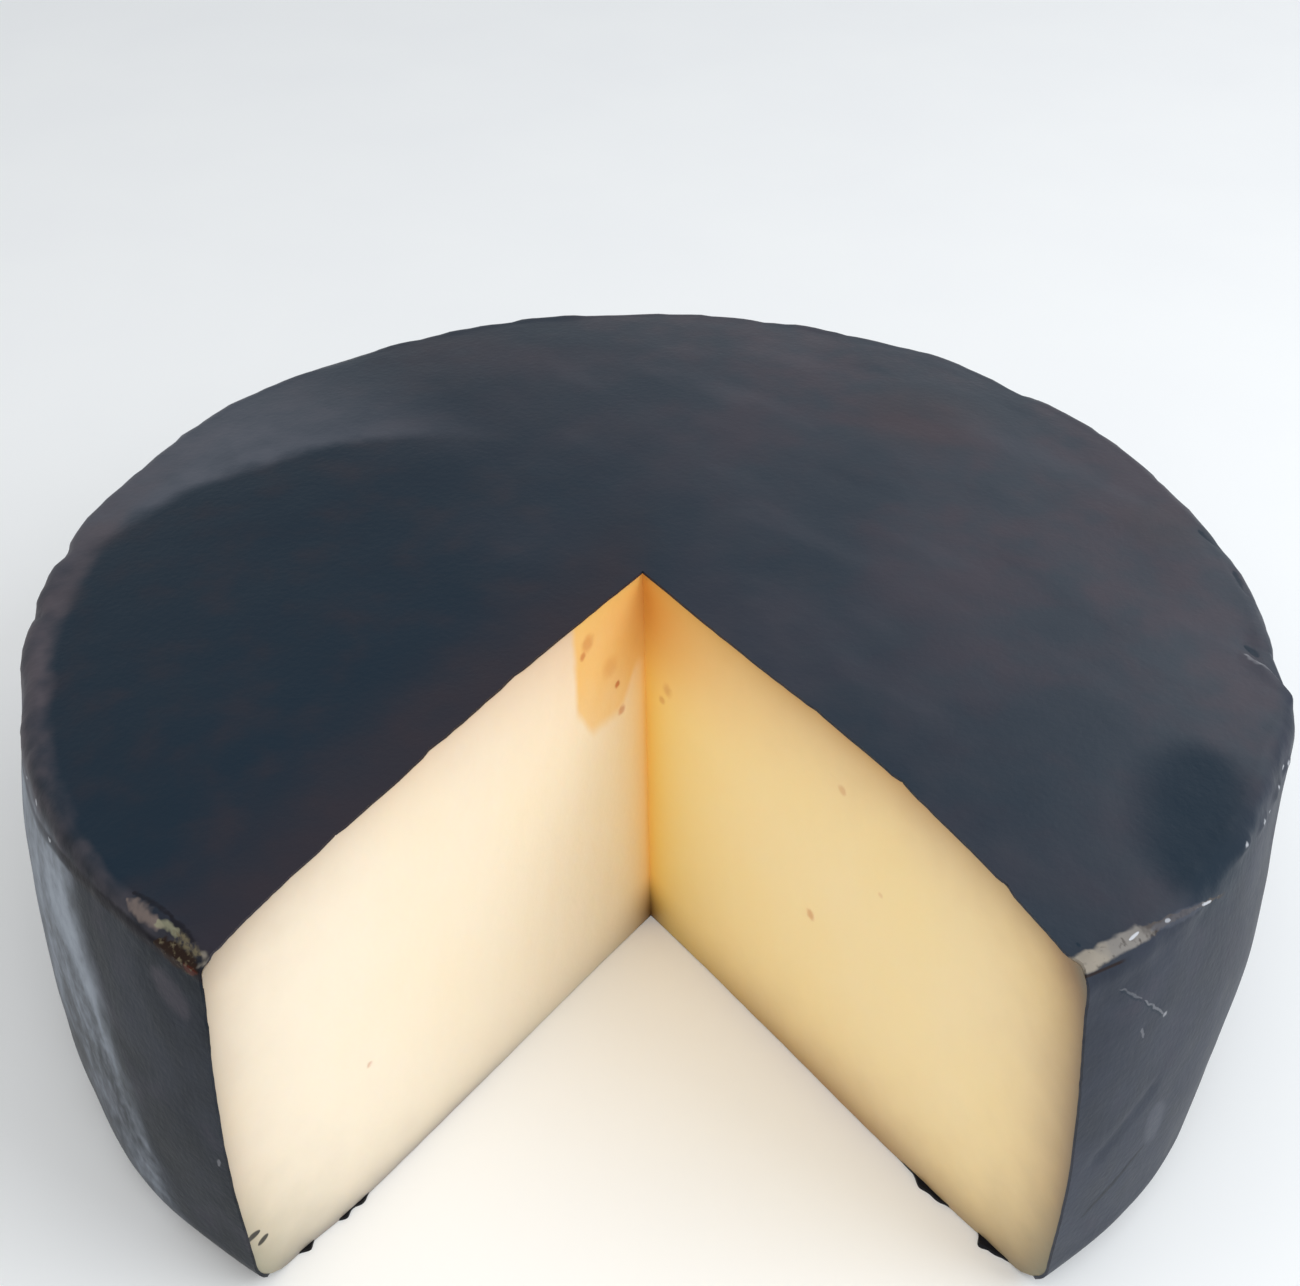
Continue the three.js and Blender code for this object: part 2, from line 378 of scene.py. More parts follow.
def make_piece(name, points, quads):
    mesh = bpy.data.meshes.new(name)
    mesh.from_pydata((points * MM).tolist(), [], quads.tolist())
    work = bmesh.new()
    work.from_mesh(mesh)
    bmesh.ops.remove_doubles(work, verts=work.verts, dist=WELD_WITHIN * MM)
    bmesh.ops.dissolve_degenerate(work, edges=work.edges, dist=NO_LENGTH * MM)
    open_edges = sum(not edge.is_manifold for edge in work.edges)
    work.to_mesh(mesh)
    work.free()
    mesh.shade_smooth()
    mesh.set_sharp_from_angle(angle=SHARP_CORNER)
    piece = bpy.data.objects.new(name, mesh)
    bpy.context.scene.collection.objects.link(piece)
    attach(piece, "root")
    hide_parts("cheese_wheel")
    print(name, len(mesh.polygons), "faces,", open_edges, "open edges")
    return piece


# %% [markdown]
# ## The coating
#
# The coating is a skin under a millimetre thick. It could be a colour on the outside of one body, but then
# its edge at the cut would be a painted line. A shell with both its sides has an edge that stands
# a little proud here, is nicked there, and is torn along the base, as where a knife has passed.

# %% List the nicks and the torn bits
COATING_THICKNESS = 0.6
# Torn and nicked places: cut, run, distance from the inner edge, spread, how far out into the gap
COATING_TEARS = (
    ("right", "base", 88.4, 2.6, 1.5), ("right", "base", 92.5, 2.0, 0.9), ("right", "base", 104.4, 1.3, 1.9),
    ("right", "base", 107, 2.2, 1.4), ("left", "base", 97.8, 1.4, 1.15), ("left", "base", 93.4, 1.8, 1.0),
    ("left", "base", 107, 1.6, 1.3), ("left", "base", 60, 2.0, 0.8), ("right", "base", 40, 1.6, 0.8),
    ("left", "top", 62.6, 1.2, -1.1), ("left", "top", 88, 1.6, -0.5), ("left", "top", 40, 1.8, -0.5),
    ("right", "top", 101, 1.0, -1.0), ("right", "top", 74, 1.6, -0.5), ("right", "top", 52, 1.2, -0.4),
    ("left", "top", 118, 1.6, -0.9), ("right", "top", 118, 2.2, -1.0),
)
BASE_RUN_BELOW = 2.5
TOP_RUN_ABOVE = 70
# Torn edges bend in the sections next to the cut, and fade out within this distance
TEAR_ROWS = 12
TEAR_FADE = 3.0
# Bits that stand out further than this curl up, and the inner skin follows them not quite so far
CURL_FROM = 0.6
CURL_UP = 0.25
INNER_FOLLOWS = 0.8


def from_inner_edge(points):
    return np.linalg.norm(points[..., :2] - inner_edge(points[..., 2]), axis=-1)


def torn_shift(points, cut):
    """How far the coating's edge stands out past the cut, in millimetres, for a line of points."""
    distance = from_inner_edge(points)
    on_base = points[:, 2] < BASE_RUN_BELOW
    on_top = points[:, 2] > TOP_RUN_ABOVE
    out = 0.10 - 0.8 * on_base + 0.14 * rough(points, 1.2, 4.4) + 0.12 * rough(points, 4.0, 8.8)
    for side, run, at, spread, size in COATING_TEARS:
        if side == cut:
            out = out + size * bell((distance - at) / spread) * (on_base if run == "base" else on_top)
    return out * np.minimum(1, distance / STEADY_REACH)


print(len(COATING_TEARS), "torn or nicked places")

# %% Choose where the sections lie
FINE_SPAN = math.radians(42)
fine_right = np.linspace(CUT_HALF_ANGLE, CUT_HALF_ANGLE + FINE_SPAN, 96, endpoint=False)
coarse_back = np.linspace(CUT_HALF_ANGLE + FINE_SPAN, LAST_TURN - FINE_SPAN, 168)
fine_left = np.linspace(LAST_TURN, LAST_TURN - FINE_SPAN, 96, endpoint=False)[::-1]
skin_turns = np.concatenate([fine_right, coarse_back, fine_left])
top_shares = np.concatenate([np.linspace(0, 0.88, 46, endpoint=False), np.linspace(0.88, 1, 15)])
side_shares = np.concatenate([np.linspace(0, 0.8, 32, endpoint=False), np.linspace(0.8, 1, 17)])[1:-1]
base_shares = np.concatenate([np.linspace(0, 0.78, 8, endpoint=False), np.linspace(0.78, 1, 46)])
print(len(skin_turns), "sections round the wheel")

# %% Shape the coating
base, side, top = section_lines(skin_turns, top_shares, base_shares, 10, side_shares)
smooth_skin = np.concatenate([base, side, top[:, ::-1]], 1)
skin_normals = surface_normals(smooth_skin)
outer_skin = smooth_skin + skin_normals * relief(smooth_skin)[..., None]
inner_skin = outer_skin - skin_normals * COATING_THICKNESS

for cut, end, steps in (("right", 0, 1), ("left", -1, -1)):
    turn = skin_turns[end]
    into_gap = np.array([math.cos(turn), math.sin(turn), 0]) * -steps
    shift = torn_shift(outer_skin[end], cut)
    for depth in range(TEAR_ROWS):
        row = depth * steps + end
        gone = np.linalg.norm(outer_skin[row] - smooth_skin[end], axis=-1)
        fade = np.maximum(0, 1 - gone / TEAR_FADE)[:, None]
        curl = np.maximum(0, shift - CURL_FROM)[:, None] * np.array([0, 0, CURL_UP])
        outer_skin[row] += into_gap * shift[:, None] * fade
        inner_skin[row] += (into_gap * shift[:, None] * INNER_FOLLOWS + curl) * fade
    print(cut, "edge of the coating moved by", np.round([shift.min(), shift.max()], 2).tolist(), "mm")

# %% Close the coating and make it a piece
INNER_STEP = 6
rows, columns = outer_skin.shape[:2]
inner_rows = np.unique(np.append(np.arange(0, rows, INNER_STEP), rows - 1))
outer_count = rows * columns
k = np.arange(columns - 1)


def lip(outer_row, inner_row, flip):
    """The strip that joins the outer and the inner skin along one cut."""
    a = outer_row * columns + k
    b = outer_count + inner_row * columns + k
    quads = np.stack([a, a + 1, b + 1, b], 1)
    return quads[:, ::-1] if flip else quads


coating_quads = np.concatenate([
    grid_faces(0, rows, columns),
    grid_faces(outer_count, len(inner_rows), columns, flip=True),
    lip(0, 0, False),
    lip(rows - 1, len(inner_rows) - 1, True),
])
coating_points = np.concatenate([outer_skin.reshape(-1, 3), inner_skin[inner_rows].reshape(-1, 3)])
coating = make_piece("black_coating", coating_points, coating_quads)

# %% [markdown]
# ## The paste
#
# The paste is the cheese itself: one closed body that fills the coating and ends in two broad cut faces. A
# knife leaves them nearly flat, but they draw back a little along the coating, carry slow waves where the
# blade wandered, and hold a few small eyes. The faces are fine grids, so that these show in the mesh. The
# hidden skin under the coating is coarse, because nobody sees it.

# %% Shape the paste's skin
EDGE_DEPTH = 0.5
DEEP_DEPTH = 1.5
BASE_SHARE = 0.4
DRAWN_BACK = 0.35
FACE_COLUMNS = 104
FACE_EDGE = 12
FACE_ROWS = 72

paste_turns = np.concatenate([
    CUT_HALF_ANGLE + np.radians([0, 1.5, 3]),
    np.linspace(CUT_HALF_ANGLE + math.radians(6), LAST_TURN - math.radians(6), 64),
    LAST_TURN - np.radians([3, 1.5, 0]),
])
face_shares = np.linspace(0, 1, FACE_COLUMNS + 1)
base, side, top = section_lines(
    paste_turns, face_shares, face_shares, FACE_EDGE, np.linspace(0, 1, FACE_ROWS + 1)[1:-1]
)
smooth_paste = np.concatenate([base, side, top[:, ::-1]], 1)
paste_normals = surface_normals(smooth_paste)
from_cut = np.minimum(paste_turns - CUT_HALF_ANGLE, LAST_TURN - paste_turns)[:, None]
depth = EDGE_DEPTH + (DEEP_DEPTH - EDGE_DEPTH) * np.clip(from_cut / math.radians(3), 0, 1)
depth = depth * np.where(smooth_paste[..., 2] < 1, BASE_SHARE, 1)
paste_skin = smooth_paste + paste_normals * (relief(smooth_paste) - depth)[..., None]
run = base.shape[1]
print("paste skin", paste_skin.shape[0], "sections of", paste_skin.shape[1], "points")

# %% Fill the cut faces
EYES = (
    # cut, distance from the inner edge, level, radius, depth
    ("left", 87, 31.5, 0.7, 0.5), ("left", 30, 70, 0.5, 0.3), ("left", 58, 46, 0.4, 0.25),
    ("right", 56, 76, 0.9, 0.35), ("right", 50, 41, 1.1, 0.4), ("right", 86, 58, 0.5, 0.25),
)


def face_grid(line):
    """Columns of points that stand between the base run and the top run of one cut's outline."""
    foot, up, head = line[:run], line[run:-run], line[:-run - 1:-1]
    share = np.linspace(0, 1, FACE_ROWS + 1)[None, :, None]
    grid = foot[:, None] * (1 - share) + head[:, None] * share
    grid[-1, 1:-1] = up
    return grid


def face_relief(grid, cut):
    """How far a cut face stands out into the gap."""
    distance = from_inner_edge(grid)
    level = grid[..., 2]
    angle = np.arctan2(grid[..., 0], -grid[..., 1])
    radius = np.hypot(grid[..., 0], grid[..., 1])
    to_coating = np.minimum(np.minimum(level, top_height(grid[..., 0], grid[..., 1]) - level),
                            side_radius(angle, level) - radius)
    out = -DRAWN_BACK * np.exp(-np.maximum(to_coating, 0) / 2.2)
    out = out + 0.22 * rough(grid, 30, 2.2) + 0.05 * rough(grid, 7, 6.6)
    out = out + 0.02 * np.sin(distance * 0.9 + level * 0.25 + 2 * rough(grid, 40, 3.3))
    for side_name, at, middle, size, deep in EYES:
        if side_name == cut:
            out = out - deep * bell(np.hypot(distance - at, level - middle) / size)
    return out * np.minimum(1, distance / STEADY_REACH)


paste_faces = []
for cut, end, sign in (("right", 0, -1), ("left", -1, 1)):
    turn = paste_turns[end]
    into_gap = np.array([math.cos(turn), math.sin(turn), 0]) * sign
    grid = face_grid(paste_skin[end])
    grid = grid + into_gap * face_relief(grid, cut)[..., None]
    outline = np.concatenate([grid[:, 0], grid[-1, 1:-1], grid[::-1, -1]])
    paste_skin[end] = outline
    paste_faces.append(grid)
print("cut faces of", paste_faces[0].shape[0], "by", paste_faces[0].shape[1], "points")

# %% Make the paste a piece
skin_count = paste_skin.shape[0] * paste_skin.shape[1]
face_count = paste_faces[0].shape[0] * paste_faces[0].shape[1]
paste_quads = np.concatenate([
    grid_faces(0, *paste_skin.shape[:2]),
    grid_faces(skin_count, *paste_faces[0].shape[:2]),
    grid_faces(skin_count + face_count, *paste_faces[1].shape[:2], flip=True),
])
paste_points = np.concatenate([paste_skin.reshape(-1, 3)] + [face.reshape(-1, 3) for face in paste_faces])
paste = make_piece("ivory_paste", paste_points, paste_quads)

# %% [markdown]
# ## Sums that turn into shader nodes
#
# A Blender material is a web of nodes, and every sum on a surface is a Math node in it. One could place and
# link those by hand, but then nobody can read the sum. `Wire` holds one output of a node and lends it
# Python's own signs, so that `1 - mask * 0.4` adds the nodes by itself. Its `node` method adds any other one.

# %% Make the wire
class Wire:
    """One output of a shader node, with the signs of arithmetic."""

    def __init__(self, tree, socket):
        self.tree = tree
        self.socket = socket

    def node(self, kind, settings, sockets, output=0):
        """Add a node, set it up, fill its sockets with values or wires, and return one of its outputs."""
        node = self.tree.nodes.new(kind)
        for name, value in settings.items():
            setattr(node, name, value)
        for name, value in sockets.items():
            if isinstance(value, Wire):
                self.tree.links.new(value.socket, node.inputs[name])
            else:
                node.inputs[name].default_value = value
        return Wire(self.tree, node.outputs[output])

    def math(self, operation, *values):
        return self.node("ShaderNodeMath", {"operation": operation}, dict(enumerate(values)))

    def vector(self, operation, *values, output=0):
        return self.node("ShaderNodeVectorMath", {"operation": operation}, dict(enumerate(values)), output)

    def __add__(self, other):
        return self.math("ADD", self, other)

    def __sub__(self, other):
        return self.math("SUBTRACT", self, other)

    def __mul__(self, other):
        return self.math("MULTIPLY", self, other)

    def __truediv__(self, other):
        return self.math("DIVIDE", self, other)

    def __pow__(self, other):
        return self.math("POWER", self, other)

    def __rsub__(self, other):
        return self.math("SUBTRACT", other, self)

    def __neg__(self):
        return self.math("MULTIPLY", self, -1.0)

    def __abs__(self):
        return self.math("ABSOLUTE", self)

    __radd__ = __add__
    __rmul__ = __mul__


print("signs that add nodes:", ", ".join(name for name in vars(Wire) if name.startswith("__")))

# %% [markdown]
# ## Where a point of the surface is
#
# Both materials ask the same questions of each point: where it is in millimetres, how far it is from a spot
# or a scratch, and what a soft cloud of noise gives there. A painted picture could hold the answers, but it
# would have to be unwrapped and stored. Sums on the point's place need neither, and stay sharp when near.

# %% Make the place helpers
def paint(red, green, blue):
    """A colour for Blender from the 0 to 255 numbers of a picture editor."""
    shares = [level / 255 for level in (red, green, blue)]
    return [s / 12.92 if s < 0.04 else ((s + 0.055) / 1.055) ** 2.4 for s in shares] + [1.0]


def new_finish(name, piece):
    """A new material on a piece: its shader, and the place of each point in millimetres."""
    material = bpy.data.materials.new(name)
    material.use_nodes = True
    piece.data.materials.append(material)
    tree = material.node_tree
    where = Wire(tree, tree.nodes.new("ShaderNodeTexCoord").outputs["Object"])
    return tree.nodes["Principled BSDF"], where.vector("MULTIPLY", where, [1 / MM] * 3)


def parts_of(place):
    """The x, y and z of a place."""
    split = place.node("ShaderNodeSeparateXYZ", {}, {0: place})
    return [Wire(place.tree, socket) for socket in split.socket.node.outputs]


def smooth(value, low, high, top=1.0):
    """0 at low and the top value at high, with a soft change between them. Low may be the larger one."""
    sockets = {0: value, 1: low, 2: high, 4: top}
    return value.node("ShaderNodeMapRange", {"interpolation_type": "SMOOTHSTEP"}, sockets)


def cloud(place, size, detail=2.0, shift=0.0):
    """Soft noise between about -1 and 1 with features of a size in millimetres."""
    moved = place.vector("ADD", place, [shift, 2 * shift, -shift]) if shift else place
    noise_node = place.node("ShaderNodeTexNoise", {}, {"Vector": moved, "Scale": 1 / size, "Detail": detail})
    return (noise_node - 0.5) * 3.0


def pushes(place, size):
    """Random pushes of up to 1 along x, y and z, with features of a size in millimetres."""
    sockets = {"Vector": place, "Scale": 1 / size, "Detail": 1.0}
    noise_colour = place.node("ShaderNodeTexNoise", {}, sockets, output=1)
    return noise_colour.vector("MULTIPLY_ADD", noise_colour, [2.0] * 3, [-1.0] * 3)


def pushed(place, push, reach):
    """The same place, pushed about a little, so that spots and strokes get ragged edges."""
    return place.vector("MULTIPLY_ADD", push, [reach] * 3, place)


def mix(low, high, share):
    """A colour between two colours."""
    return share.node("ShaderNodeMix", {"data_type": "RGBA"}, {0: share, 6: low, 7: high}, output=2)


def spot(place, centre, reach, strength=1.0):
    """The strength inside a round spot, softly falling to 0 at its reach."""
    away = place.vector("DISTANCE", place, centre, output=1)
    return smooth(away, reach, reach * 0.3, strength)


def stroke(place, start, end, half, strength=1.0, core=0.3):
    """The strength inside a slim lens between two points, softly falling to 0 at its half width."""
    length = math.dist(start, end)
    from_start = place.vector("DISTANCE", place, start, output=1)
    from_end = place.vector("DISTANCE", place, end, output=1)
    inner_sum = math.hypot(length, 2 * half * core)
    return smooth(from_start + from_end, math.hypot(length, 2 * half), inner_sum, strength)


print("a pale ivory is", [round(level, 2) for level in paint(245, 232, 200)])

# %% [markdown]
# ## The black coating's finish
#
# The coating is a dark blue-black skin, satin and slightly dusty. It is nearly clean on the top left, greyer
# to the right and the back, partly where handling has worn it and partly as a painted sheen, and blooms
# bluish-white on the lower left. One flat black would look like rubber. So several thin layers of paint go
# over each other, each with its own soft mask, as dust and wear did, and some of them paint shade, sheen and
# highlights onto the shoulder, the rim, its dents and the base. The rim's marks use the flat sheet of angle
# and fold from before.

# %% Find the coating's own measures
coating_shader, place = new_finish("black_coating_finish", coating)
x, y, z = parts_of(place)
radius = (x * x + y * y) ** 0.5
angle = x.math("ARCTAN2", x, -y) * math.degrees(1)
left_angle = -angle
fold = RIM_AT - radius + z - RIM_LEVEL
MM_PER_DEGREE = math.radians(RIM_AT)
sheet = fold.node("ShaderNodeCombineXYZ", {}, {0: angle * MM_PER_DEGREE, 1: fold})

broad = cloud(place, 34, 3.0, 11.0)
patchy = cloud(place, 9, 3.0, 5.0)
fine = cloud(place, 2.2, 2.0)
push = pushes(place, 1.6)
near_place = pushed(place, push, 0.45)
near_sheet = pushed(sheet, push, 0.45)
on_top = smooth(fold, -1.0, 3.0)
print("the flat sheet is", round(360 * MM_PER_DEGREE), "mm long")

# %% Paint the top and the side
BLUE_BLACK = paint(23, 38, 51)
WARM_BLACK = paint(50, 43, 49)
PURPLE_GREY = paint(67, 63, 71)
BLUE_GREY = paint(57, 63, 72)
WEAR_AND_SHEEN_GREY = paint(84, 83, 91)
SIDE_BLACK = paint(8, 17, 25)
SIDE_SATIN = paint(63, 68, 81)
PURPLE_SATIN = paint(62, 56, 66)

# Partly wear and partly painted sheen: the top is painted greyer towards the right and the back, where a
# light behind the wheel shines on it.
to_right_back = x * 0.82 + y * 0.42
wear_and_sheen_top = smooth(to_right_back + broad * 22 + patchy * 6, -46.0, 84.0)
wear_and_sheen_colour = mix(BLUE_GREY, PURPLE_GREY, smooth(broad - patchy * 0.6, -0.5, 0.6))
blue_colour = mix(BLUE_BLACK, WARM_BLACK, smooth(patchy + broad * 0.5, -0.3, 1.2, 0.5))
top_colour = mix(blue_colour, wear_and_sheen_colour, wear_and_sheen_top)
wiped = x.node("ShaderNodeCombineXYZ", {}, {0: x * 0.7 + y * 0.7, 1: x * 0.25 - y * 0.25})
wipes = cloud(wiped, 13, 3.0, 17.0)
top_colour = mix(top_colour, BLUE_BLACK, smooth(wipes, 0.1, 1.0) * wear_and_sheen_top * 0.4)
top_colour = mix(top_colour, WEAR_AND_SHEEN_GREY, smooth(wipes, 0.0, -1.0) * wear_and_sheen_top * 0.35)
by_left_cut = smooth(x * 0.814 - y * 0.581 + patchy * 3, -26.0, 4.0) * smooth(x, 4.0, -10.0)
top_colour = mix(top_colour, WARM_BLACK, by_left_cut * 0.8)
side_tone = smooth(broad + patchy * 0.7, -0.9, 1.1, 0.4) + smooth(x, -50.0, 70.0, 0.4)
side_colour = mix(SIDE_BLACK, SIDE_SATIN, side_tone)
side_colour = mix(side_colour, PURPLE_SATIN, smooth(patchy - broad * 0.4, 0.1, 0.9, 0.3))
colour = mix(side_colour, top_colour, on_top)

# %% Lay painted sheen, bloom, dust and dirt over it
PALE_BLOOM = paint(156, 163, 173)
REDDISH = paint(70, 58, 60)
PALE_SHEEN_GREY = paint(90, 93, 103)
# The shoulder's painted sheen and the side's bloom start at slanting lines: radius against angle, angle
# against level
SHOULDER_LINE = 222.5
SHOULDER_LEAN = 1.128
BLOOM_START = 41.0
BLOOM_LEAN = 0.175
BRIGHT_BEND = (-96.7, -77.2, 51)

# Painted sheen: the back left shoulder is painted a paler grey where its slope reflects the bright room.
sheen_on_shoulder = smooth(radius - angle * SHOULDER_LEAN - SHOULDER_LINE + patchy * 2.0, -2.0, 6.0)
sheen_on_shoulder = sheen_on_shoulder * smooth(angle, -82.0, -98.0) * smooth(angle, -152.0, -120.0)
sheen_on_shoulder = sheen_on_shoulder * smooth(fold, -9.0, 1.0)
colour = mix(colour, PALE_SHEEN_GREY, sheen_on_shoulder * (0.62 + patchy * 0.2))

bloom_from = left_angle - z * BLOOM_LEAN + patchy * 0.9 - BLOOM_START
left_side = smooth(bloom_from, -2.2, 3.0) * smooth(angle, -110.0, -62.0) * smooth(fold, -2.0, -7.0)
tall_sheet = fold.node("ShaderNodeCombineXYZ", {}, {0: angle * MM_PER_DEGREE, 1: fold * 0.2})
streaks = cloud(tall_sheet, 4.5, 3.0)
brightest = stroke(near_place, (-107, -59, 72), BRIGHT_BEND, 7, 0.8, 0.1)
brightest = brightest + stroke(near_place, BRIGHT_BEND, (-89.2, -87.1, 23), 4.5, 0.8, 0.1)
cloudy_bloom = broad * 0.3 + patchy * 0.7 + streaks * 0.5 + fine * 0.5 + brightest * 0.55
bloom = left_side * smooth(cloudy_bloom + smooth(fold, -74.0, -8.0, 0.9), -0.8, 1.7)
colour = mix(colour, PALE_BLOOM, bloom * 0.9)
colour = mix(colour, PURPLE_GREY, stroke(near_place, (-80, -92.4, 74), (-74.5, -97, 70), 4.5, 0.6, 0.0))

# Spots of old dirt on the top: x, y, reach
DIRT = ((-113, 19, 9), (-115, -3, 7), (60, 62, 22), (105, 24, 13))
for dirt_x, dirt_y, reach in DIRT:
    colour = mix(colour, REDDISH, spot(near_place, [dirt_x, dirt_y, 85.0], reach, 0.3))
colour = mix(colour, BLUE_BLACK, stroke(near_place, (97, -50, 82.5), (88, -79, 81.5), 16, 1.0, 0.1))
print("spots of old dirt on the top:", len(DIRT))

# %% Paint the worn seam and the torn band of the rim
WORN_CREAM = paint(134, 129, 124)
WORN_BROWN = paint(82, 76, 73)
OLD_PASTE = paint(158, 149, 136)
BAND_BROWN = paint(82, 76, 82)
CRUST_AND_SHADE_BROWN = paint(36, 22, 15)
PURPLE_BLACK = paint(18, 15, 22)
BAND_START = 42.0
BAND_LOW = -3.4
BAND_LOWEST = -9.0

right_half = smooth(angle, 28.0, 30.0)
left_half = smooth(left_angle, 28.0, 30.0)
off_seam = abs(fold - seam_fold(angle)) + fine * 0.55
seam_width = smooth(angle + fine * 0.8, 42.4, 40.2, 1.25) + smooth(angle, 47.0, 43.0, 0.55) + 0.55
on_seam = smooth(off_seam, seam_width, seam_width * 0.6) * right_half
on_seam = on_seam * smooth(angle, SEAM_END + 0.5, SEAM_END - 2.0)
seam_colour = mix(WORN_CREAM, WORN_BROWN, smooth(angle + fine, 40.4, 41.6) * smooth(angle, 47.6, 46.4))
seam_colour = mix(seam_colour, OLD_PASTE, smooth(angle + fine * 0.7, 37.6, 35.8))
specks = cloud(place, 1.2, 2.0, 31.0) + (fold - 2.0) * -0.12
seam_colour = mix(seam_colour, CRUST_AND_SHADE_BROWN, smooth(specks, 0.1, 0.8, 0.7))
colour = mix(colour, seam_colour, on_seam * (0.85 + patchy * 0.15))
# Painted shade: a thin dark line in the gap under the seam's raised edge, near the cut.
shade_under_seam = smooth(abs(fold - 0.2 + (angle - 35.0) * 0.35), 0.5, 0.15) * smooth(angle, 38.2, 37.2)
colour = mix(colour, CRUST_AND_SHADE_BROWN, shade_under_seam * right_half * 0.8)

past_start = left_angle.math("MAXIMUM", left_angle - BAND_START, 0.0)
band_low = past_start ** 2 * -0.0143 + BAND_LOW
band_low = band_low.math("MAXIMUM", band_low, BAND_LOWEST)
band_high = past_start * 0.13 + 2.4 + patchy * 1.2
above_band = fold - band_high + fine * 0.2
in_band = smooth(fold - band_low + fine * 0.4, -0.2, 1.2)
in_band = in_band * smooth(above_band, past_start * 0.07 + 0.7, -1.2)
in_band = in_band * smooth(left_angle, 132.0, 84.0) * left_half
streaky = smooth(cloud(sheet, 6.0, 2.0, 41.0) + patchy * 0.5, -0.7, 0.8)
band_strength = streaky * 0.45 + smooth(left_angle, 56.0, 78.0, 0.4) + 0.08
colour = mix(colour, BAND_BROWN, in_band * band_strength)
off_line = abs(fold - band_low + fine * 0.3 - 0.9)
line_below = smooth(off_line, 2.1, 0.8) * (smooth(left_angle, 66.0, 50.0, 0.6) + 0.35)
line_below = line_below * left_half * smooth(left_angle, 84.0, 62.0)
colour = mix(colour, PURPLE_BLACK, line_below)
print("the seam runs to", SEAM_END, "degrees, the band's lower side starts at fold", BAND_LOW, "mm")

# %% Paint the crusty break beside the left cut
HOLLOW_FROM = (-79.2, -91.4, 80.6)
HOLLOW_TO = (-71.4, -98.0, 80.0)
RUST_RED_SHADE = paint(72, 26, 14)
DUSTY_PINK = paint(122, 108, 102)
SAGE_CREAM = paint(140, 138, 114)
OLIVE_CRUST = paint(104, 95, 74)
crumbs = cloud(place, 0.9, 2.0, 13.0)
jagged = pushed(place, push, 0.9)

colour = mix(colour, PURPLE_BLACK, stroke(near_place, (-84, -83, 82.9), (-76, -89.4, 83), 0.9, 0.7))
colour = mix(colour, PURPLE_BLACK, stroke(near_place, (-77, -88.8, 83), (-71.4, -94.6, 82.8), 0.9, 0.7))
colour = mix(colour, DUSTY_PINK, stroke(jagged, (-84.6, -84, 82), (-78, -90.4, 82), 1.8, 0.75, 0.1))
colour = mix(colour, SAGE_CREAM, stroke(jagged, (-79.4, -89.4, 82.2), (-75, -92, 82.4), 1.2, 0.75))
on_crust = stroke(jagged, (-77.0, -91.6, 82.2), (-70.8, -96.6, 82.0), 1.9, 1.0, 0.4)
colour = mix(colour, OLIVE_CRUST, on_crust * smooth(crumbs, -0.6, 0.4))
# Partly crust and partly painted shade: the hollow is painted dark brown, and red-brown at its lower end.
hollow_crust_and_shade = stroke(jagged, HOLLOW_FROM, HOLLOW_TO, 2.2, 1.0, 0.6)
colour = mix(colour, CRUST_AND_SHADE_BROWN, hollow_crust_and_shade)
colour = mix(colour, RUST_RED_SHADE, stroke(jagged, (-73.8, -96.2, 79.4), HOLLOW_TO, 1.0, 0.8))
colour = mix(colour, OLIVE_CRUST, hollow_crust_and_shade * smooth(crumbs, 0.1, 0.8, 0.8))
colour = mix(colour, OLD_PASTE, stroke(near_place, (-78.1, -91.0, 81.6), (-75.4, -92.9, 81.9), 0.7))
colour = mix(colour, OLD_PASTE, spot(jagged, [-70.9, -96.8, 82.0], 1.7, 0.9))
print("the break is", round(math.dist(HOLLOW_FROM, HOLLOW_TO), 1), "mm long")

# %% Add scratches, nicks and pits
SCRATCH_AND_HIGHLIGHT_GREY = paint(150, 150, 155)
# Pale strokes: start, end, half width, strength
STROKES = (
    ((-46, -37.5, 87.3), (-42, -40.3, 87.3), 0.35, 0.3), ((-43.5, -37, 87.4), (-41.5, -39, 87.4), 0.3, 0.3),
    ((-38.9, -52.0, 87.4), (-38.0, -52.8, 87.4), 0.5, 0.8), ((70.6, 46.6, 86), (73.2, 47.2, 86), 0.8, 0.3),
    ((75.4, -31.5, 86), (76.8, -32.3, 86), 0.4, 0.4), ((90.2, -9.0, 85), (91.6, -9.6, 85), 0.4, 0.4),
    ((-72.3, -101.7, 39.2), (-72.6, -101.4, 37.0), 0.5, 0.4),
)
DARK_STROKES = (
    ((62.0, 26.8, 87.5), (62.6, 26.8, 87.5), 0.7, 0.7), ((85.2, -21.8, 85.5), (85.8, -21.8, 85.5), 0.7, 0.7),
    ((64.2, -29.8, 87), (64.8, -29.8, 87), 0.7, 0.7), ((66.9, -94.5, 83.4), (66.7, -94.4, 83.4), 0.6, 0.9),
)
for start, end, half, strength in STROKES:
    colour = mix(colour, SCRATCH_AND_HIGHLIGHT_GREY, stroke(near_place, start, end, half, strength))
for start, end, half, strength in DARK_STROKES:
    colour = mix(colour, BLUE_BLACK, stroke(near_place, start, end, half, strength))
print(len(STROKES), "pale strokes and", len(DARK_STROKES), "dark ones")

# %% Add the rim's painted glints, its slits, and the painted shade in its dents
GLINT = paint(196, 198, 204)
# Painted highlights on the rim's bumps: angle, fold, reach
GLINTS = (
    (69.2, -6.2, 0.9), (65.6, -5.4, 0.8), (60.8, -5.0, 0.7), (55.9, -2.2, 1.0), (68.0, -4.2, 0.5),
    (63.2, -6.8, 0.5),
    (-62.0, -3.4, 0.9), (-58.4, -6.2, 0.7), (-66.4, -4.8, 0.6),
)
